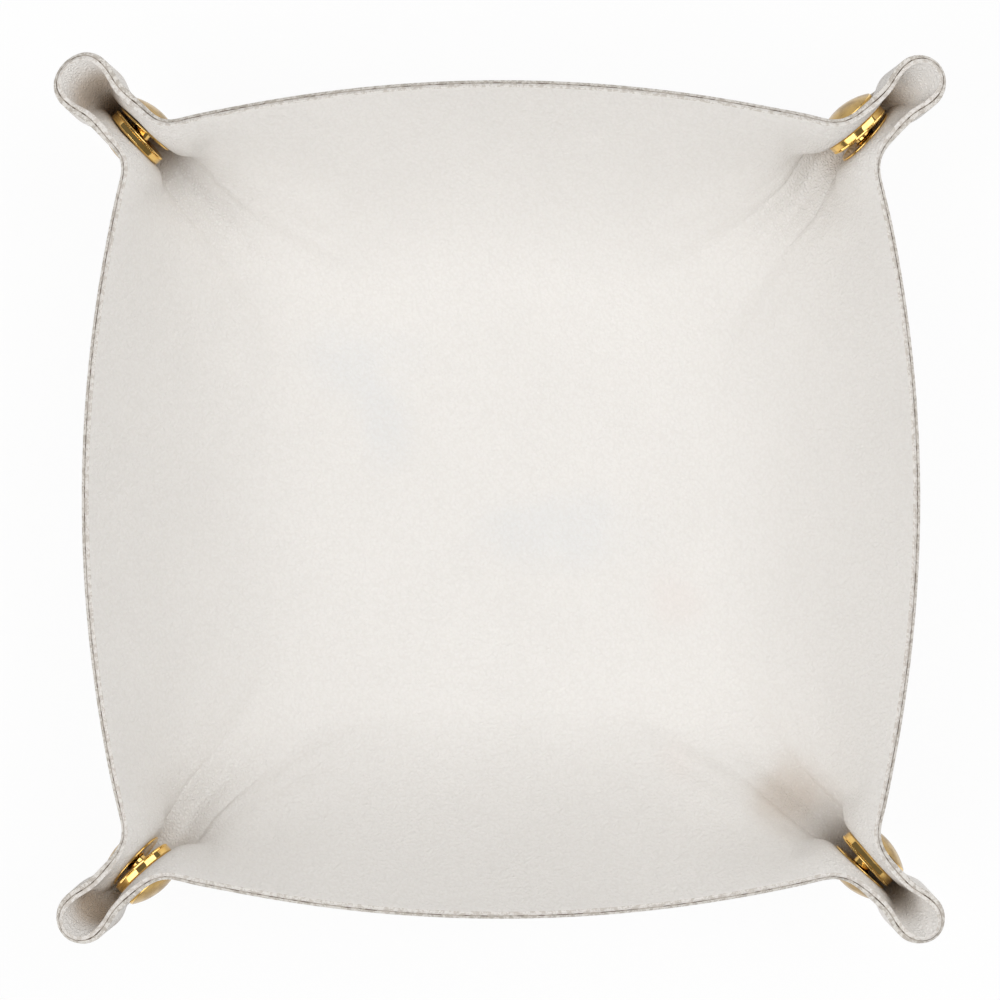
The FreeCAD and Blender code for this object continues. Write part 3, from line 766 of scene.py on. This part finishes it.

# Faint marks of use on the inner face, and one patch of painted shade: middle and reach in
# millimetres, colour and strength
MARKS_AND_PAINTED_SHADE = [
    ((-34.0, 33.0, 2.0), (23.0, 15.0, 20.0), (226, 229, 232), 0.3),
    ((-27.0, 18.0, 2.0), (12.0, 18.0, 20.0), (226, 229, 232), 0.3),
    ((12.0, -7.0, 2.0), (34.0, 16.0, 20.0), (228, 231, 234), 0.3),
    ((41.0, -23.0, 2.0), (12.0, 12.0, 20.0), (238, 229, 224), 0.4),
    ((41.0, -61.0, 8.0), (9.0, 9.0, 20.0), (238, 229, 224), 0.35),
    # painted shade: a darker brown patch in the front-right ear's fold beside the press stud
    ((67.0, -70.0, 10.0), (17.0, 17.0, 25.0), (212, 199, 186), 0.7),
]

GRAIN, FIBRES, HANDLING = grain_group(), fibre_group(), handling_group()
INNER_FACE = leather_face("inner_leather_face", True)
OUTER_FACE = leather_face("outer_leather_face", False)
INNER_EDGE = cut_edge("inner_cut_edge", (233, 229, 224), (208, 201, 193))
OUTER_EDGE = cut_edge("outer_cut_edge", (227, 223, 217), (190, 183, 174))
GLUE_LINE = glue_line()
GOLD = metal("polished_gold", (250, 212, 134), (238, 194, 108), (0.07, 0.18))
# painted reflection: a darker copy of the gold for the caps' domes, standing in for the dark room
# they mirror
GOLD_PAINTED_DARK = metal("gold_painted_dark_reflection", (190, 158, 96), (158, 128, 74), (0.2, 0.32))
STEEL = metal("spring_steel", (190, 188, 184), (170, 168, 166), (0.25, 0.4))


def mark_folds(piece):
    """Stores how creased the leather is at each point, and how strong its painted shade is, for its
    material.
    """
    count = len(piece.data.vertices)
    places = np.zeros(count * 3)
    piece.data.vertices.foreach_get("co", places)
    places = places.reshape(-1, 3) / MM
    depth = RIM_HEIGHT - places[:, 2]
    fold, pinch_shade = np.zeros(count), np.zeros(count)
    for corner in range(4):
        along, across = diagonal_places(places, corner)
        near = np.exp(-((across / CREASED_HALF) ** 2))
        fold = np.maximum(fold, near * passage(along, CREASED_ALONG))
        # painted shade, stronger further below the rim, deep in the pinch and in the tip
        painted_shade = EAR_SHADE[corner] * passage(depth, PINCH_DEPTH) * passage(along, PINCH_ALONG)
        pinch_shade = np.maximum(pinch_shade, painted_shade)
        painted_shade = TIP_SHADE[corner] * passage(depth, TIP_DEPTH) * passage(along, TIP_ALONG)
        pinch_shade = np.maximum(pinch_shade, painted_shade)
    piece.data.attributes.new("fold", "FLOAT", "POINT").data.foreach_set("value", fold)
    piece.data.attributes.new("pinch_shade", "FLOAT", "POINT").data.foreach_set("value", pinch_shade)


def add_leather():
    """Both layers of leather, each cut into its own part and patches beside the press studs, where
    the leather gives way.
    """
    quarters = quarter_faces()
    owners = cell_owners(all_round([quarters[1]] * 4))
    outer, glue, inner = (all_round([hand_folded(face, k) for k in range(4)]) for face in quarters)
    layers = (
        ("inner", inner, glue, True, (INNER_FACE, INNER_EDGE, GLUE_LINE)),
        ("outer", glue, outer, False, (OUTER_FACE, OUTER_EDGE, GLUE_LINE)),
    )
    for layer, upper, lower, glue_is_lower, slots in layers:
        sheet, *patches = leather_pieces(layer, upper, lower, owners, glue_is_lower, slots)
        for number, patch in enumerate(patches):
            mark_folds(patch)
            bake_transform(patch)
        mark_folds(sheet)
        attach(sheet, TRAY)
        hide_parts(f"{layer}_leather")


# Fine ridges round the press studs: lines round a piece, where its outside begins as a share of
# its radius, and the bands' low end, high end and depth
KNURL_STEPS = 176
OUTSIDE_SHARE = 0.93
SOCKET_RIDGES, CAP_RIDGES = (1.71, 2.0, 0.1), (0.15, 0.75, 0.09)

# How far the caps' posts stand out of the leather's inner face, and where a cap's dome begins
SOCKET_POST, STUD_POST = 0.7, 2.95
DOME_START = 0.98


def arc(middle, radius, start, end, steps):
    """Points of an arc in a turned outline, angles in degrees from outwards to upwards."""
    angles = np.radians(np.linspace(start, end, steps))
    return [(middle[0] + radius * math.cos(a), middle[1] + radius * math.sin(a)) for a in angles]


def turned_piece(name, outline, ridges=None):
    """A closed outline of (radius, height) turned about the upright axis.

    ridges gives (low, high, depth) of a band whose outside is cut into fine ridges.
    """
    clear_selection()
    bpy.ops.mesh.primitive_plane_add(size=MM, location=(outline[0][0] * MM, 0, outline[0][1] * MM))
    piece = bpy.context.object
    piece.name = piece.data.name = name
    bpy.ops.object.transform_apply(location=True, rotation=True, scale=True)
    bpy.ops.object.mode_set(mode="EDIT")
    bpy.ops.mesh.select_all(action="SELECT")
    bpy.ops.mesh.merge(type="CENTER")
    for before, after in zip(outline, outline[1:]):
        step = ((after[0] - before[0]) * MM, 0, (after[1] - before[1]) * MM)
        bpy.ops.mesh.extrude_region_move(TRANSFORM_OT_translate={"value": step})
    bpy.ops.mesh.select_all(action="SELECT")
    bpy.ops.mesh.spin(steps=KNURL_STEPS, angle=math.tau, center=(0, 0, 0), axis=(0, 0, 1))
    bpy.ops.mesh.select_all(action="SELECT")
    bpy.ops.mesh.remove_doubles(threshold=0.002 * MM)
    bpy.ops.mesh.normals_make_consistent(inside=False)
    bpy.ops.object.mode_set(mode="OBJECT")
    if ridges:
        cut_ridges(piece, *ridges)
    bpy.ops.object.shade_smooth_by_angle(angle=math.radians(32))
    return piece


def cut_ridges(piece, low, high, depth):
    """Draws every other upright line of a band inwards."""
    step = math.tau / KNURL_STEPS
    bpy.ops.object.mode_set(mode="EDIT")
    bpy.ops.mesh.select_mode(type="VERT")
    bpy.ops.mesh.select_all(action="DESELECT")
    bpy.ops.object.mode_set(mode="OBJECT")
    radius = DISC_RADIUS * MM
    for vertex in piece.data.vertices:
        x, y, z = vertex.co
        outside = math.hypot(x, y) > radius * OUTSIDE_SHARE and low * MM < z < high * MM
        vertex.select = outside and round(math.atan2(y, x) / step) % 2 == 1
    bpy.ops.object.mode_set(mode="EDIT")
    share = 1 - depth / DISC_RADIUS
    bpy.ops.transform.resize(value=(share, share, 1), center_override=(0, 0, 0))
    bpy.ops.object.mode_set(mode="OBJECT")


def socket_outline():
    """The socket: a thick rounded band, a fine ridged strip at its front, and its mouth."""
    return (
        [(1.46, 0.0), (6.95, 0.0)]
        + arc((6.95, 0.55), 0.55, -75, 0, 6)
        + [(7.5, 1.2), (7.5, 1.55)]
        + [(7.42, 1.62), (7.36, 1.66), (7.36, 1.70), (7.47, 1.74), (7.47, 1.98)]
        + arc((7.2, 2.02), 0.26, 0, 90, 5)
        + [(6.6, 2.28), (6.35, 2.16), (4.3, 2.12), (4.05, 2.28), (3.35, 2.3)]
        + [(3.2, 2.22), (3.2, 2.15), (4.2, 2.15), (4.2, 1.55), (3.2, 1.55)]
        + [(3.2, 0.45), (1.46, 0.45), (1.46, 0.0)]
    )


def stud_outline():
    """The stud: a thin flange with a rolled lip, and the knob."""
    return (
        [(1.46, 0.0), (6.9, 0.0)]
        + arc((6.95, 0.25), 0.25, -80, 90, 8)
        + [(6.6, 0.5), (6.35, 0.4), (3.0, 0.4), (2.5, 0.46), (2.24, 0.62), (2.2, 0.8), (2.2, 2.42)]
        + [(2.55, 2.52), (2.73, 2.62), (2.73, 2.76), (2.6, 2.87), (2.42, 2.94)]
        + [(1.46, 2.95), (1.46, 0.0)]
    )


def cap_outline(post_end, rivet):
    """A cap: a finely ridged band at the leather, a step, a low dome, and the post through it."""
    end = [(0.0, -post_end), (POST_RADIUS, -post_end)]
    if rivet:
        rolled = [(2.2, 0.0), (2.3, 0.1), (2.3, 0.25), (POST_RADIUS, 0.25)]
        end = [(0.0, -post_end)] + [(radius, height - post_end) for radius, height in rolled]
    dome_base, dome_top = 0.95, 2.9
    dome_radius = 7.25
    bulge = (dome_radius**2 + (dome_top - dome_base) ** 2) / (2 * (dome_top - dome_base))
    spread = math.degrees(math.asin(dome_radius / bulge))
    dome = arc((0.0, dome_top - bulge), bulge, 90 - spread, 90, 12)
    return (
        end
        + [(POST_RADIUS, 0.0), (6.95, 0.0), (7.3, 0.12), (7.42, 0.18)]
        + [(7.42, 0.72), (7.36, 0.8), (7.28, 0.83), (7.28, 0.88)]
        + dome
    )


def set_on_seat(piece, corner, side, behind):
    """Turns a piece from its own upright axis to its place on the leather.

    behind is None inside the ear; outside it is how far the cap stands behind the inner face.
    """
    seat, faces = (Vector(v) for v in snap_seat(side, corner))
    facing = faces if behind is None else -faces
    height = SEAT_FIT if behind is None else behind
    up = Vector((0, 0, 1))
    across = up.cross(facing)
    turn = Matrix((across, up, facing)).transposed().to_4x4()
    place = Matrix.Translation((seat + facing * height) * MM)
    piece.data.transform(ear_roll(corner) @ place @ turn)


def ear_roll(corner):
    """The roll of a corner's ear about its diagonal at the rim's height."""
    rim = Matrix.Translation((0, 0, RIM_HEIGHT * MM))
    diagonal = Vector(turned_round((1.0, 1.0, 0.0), corner))
    return rim @ Matrix.Rotation(math.radians(EAR_ROLL[corner]), 4, diagonal) @ rim.inverted()


def add_press_studs():
    """The four press studs, each piece modelled once and copied to its corners."""
    held = 2 * LAYER + SEAT_FIT
    socket_cap = cap_outline(held + SEAT_FIT + SOCKET_POST, True)
    stud_cap = cap_outline(held + SEAT_FIT + STUD_POST, False)
    models = (
        ("socket", turned_piece("socket_model", socket_outline(), SOCKET_RIDGES), 1, None),
        ("stud", turned_piece("stud_model", stud_outline()), -1, None),
        ("socket_cap", turned_piece("socket_cap_model", socket_cap, CAP_RIDGES), 1, held),
        ("stud_cap", turned_piece("stud_cap_model", stud_cap, CAP_RIDGES), -1, held),
    )
    for kind, model, side, behind in models:
        model.data.materials.append(GOLD)
        if behind is not None:
            paint_dome_reflection_dark(model)
        for corner, name in enumerate(CORNERS):
            piece = bpy.data.objects.new(f"{name}_gold_{kind}", model.data.copy())
            bpy.context.scene.collection.objects.link(piece)
            set_on_seat(piece, corner, side, behind)
            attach(piece, TRAY if side == 1 else f"{name}_stud_half")
            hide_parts(f"{name}_{kind}")
        bpy.data.objects.remove(model)
    for corner, name in enumerate(CORNERS):
        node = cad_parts[f"{name}_spring_wires"]
        wires = bpy.data.objects.new(f"{name}_steel_wires", node.data.copy())
        bpy.context.scene.collection.objects.link(wires)
        wires.data.transform(ear_roll(corner))
        wires.data.materials.clear()
        wires.data.materials.append(STEEL)
        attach(wires, TRAY)
        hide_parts(f"{name}_spring_wires")


def paint_dome_reflection_dark(cap):
    """Gives a cap's dome a darker, rougher copy of the gold, inside the bright ridged band: a
    painted dark reflection.
    """
    cap.data.materials.append(GOLD_PAINTED_DARK)
    for face in cap.data.polygons:
        if face.center.z > DOME_START * MM:
            face.material_index = 1


# Floor in metres, how white it shows, and the room's light as it falls and as metal mirrors it
FLOOR_SIZE = 6.0
FLOOR_DROP = 0.0002
FLOOR_WHITE = 0.93
ROOM_LIGHT, ROOM_MIRRORED = 0.34, 0.15

# Lamps: their place and side in metres, and their power in watts
LAMPS = {
    "left_lamp": ((-0.88, -0.6, 1.12), 1.3, 13.2),
    "right_lamp": ((0.64, 0.34, 0.9), 1.0, 6.85),
}

# Camera: its place in metres, its lens and its sensor in millimetres
CAMERA_PLACE = (-0.00023, -0.00012, 0.9)
CAMERA_LENS, CAMERA_SENSOR = 138.6, 36.0


def add_floor():
    """A plain pale floor that shows white, in the metal too, and still takes the tray's shadow."""
    clear_selection()
    bpy.ops.mesh.primitive_plane_add(size=FLOOR_SIZE, location=(0, 0, -FLOOR_DROP))
    floor = bpy.context.object
    floor.name = "floor"
    material = bpy.data.materials.new("pale_floor")
    material.use_nodes = True
    tree = material.node_tree
    surface = tree.nodes["Principled BSDF"]
    surface.inputs["Base Color"].default_value = (0.9, 0.9, 0.9, 1.0)
    surface.inputs["Roughness"].default_value = 0.9
    path = tree.nodes.new("ShaderNodeLightPath").outputs
    mirrored = sums(tree, "MAXIMUM", path["Is Glossy Ray"], path["Is Transmission Ray"])
    seen = sums(tree, "MAXIMUM", path["Is Camera Ray"], mirrored)
    white = add(tree, "ShaderNodeEmission", Color=(1, 1, 1, 1), Strength=1.0)
    mixed = tree.nodes.new("ShaderNodeMixShader")
    plug(tree, mixed.inputs[0], sums(tree, "MULTIPLY", seen, FLOOR_WHITE))
    tree.links.new(surface.outputs[0], mixed.inputs[1])
    tree.links.new(white.outputs[0], mixed.inputs[2])
    tree.links.new(mixed.outputs[0], tree.nodes["Material Output"].inputs["Surface"])
    floor.data.materials.append(material)


def add_lamp(name, place, size, power):
    """A square soft light that looks at the tray."""
    lamp = bpy.data.lights.new(name, "AREA")
    lamp.shape, lamp.size, lamp.energy = "SQUARE", size, power
    holder = bpy.data.objects.new(name, lamp)
    bpy.context.scene.collection.objects.link(holder)
    holder.location = place
    holder.rotation_euler = (-Vector(place)).to_track_quat("-Z", "Y").to_euler()


def add_light():
    """Soft studio light: a broad lamp at each side, in a dim room whose mirror image is darker."""
    for name, (place, size, power) in LAMPS.items():
        add_lamp(name, place, size, power)
    world = bpy.data.worlds.new("pale_room")
    bpy.context.scene.world = world
    world.use_nodes = True
    background = world.node_tree.nodes["Background"]
    background.inputs["Color"].default_value = (1.0, 0.99, 0.98, 1.0)
    tree = world.node_tree
    mirrored = tree.nodes.new("ShaderNodeLightPath").outputs["Is Glossy Ray"]
    strength = between(tree, mirrored, 0.0, 1.0, ROOM_LIGHT, ROOM_MIRRORED)
    plug(tree, background.inputs["Strength"], strength)


def add_camera():
    """Looks straight down on the tray, as the photograph does."""
    data = bpy.data.cameras.new("camera")
    data.lens, data.sensor_width = CAMERA_LENS, CAMERA_SENSOR
    camera = bpy.data.objects.new("camera", data)
    bpy.context.scene.collection.objects.link(camera)
    camera.location = CAMERA_PLACE
    bpy.context.scene.camera = camera


add_leather()
add_press_studs()
add_floor()
add_light()
add_camera()
bpy.context.scene.view_settings.view_transform = "Standard"
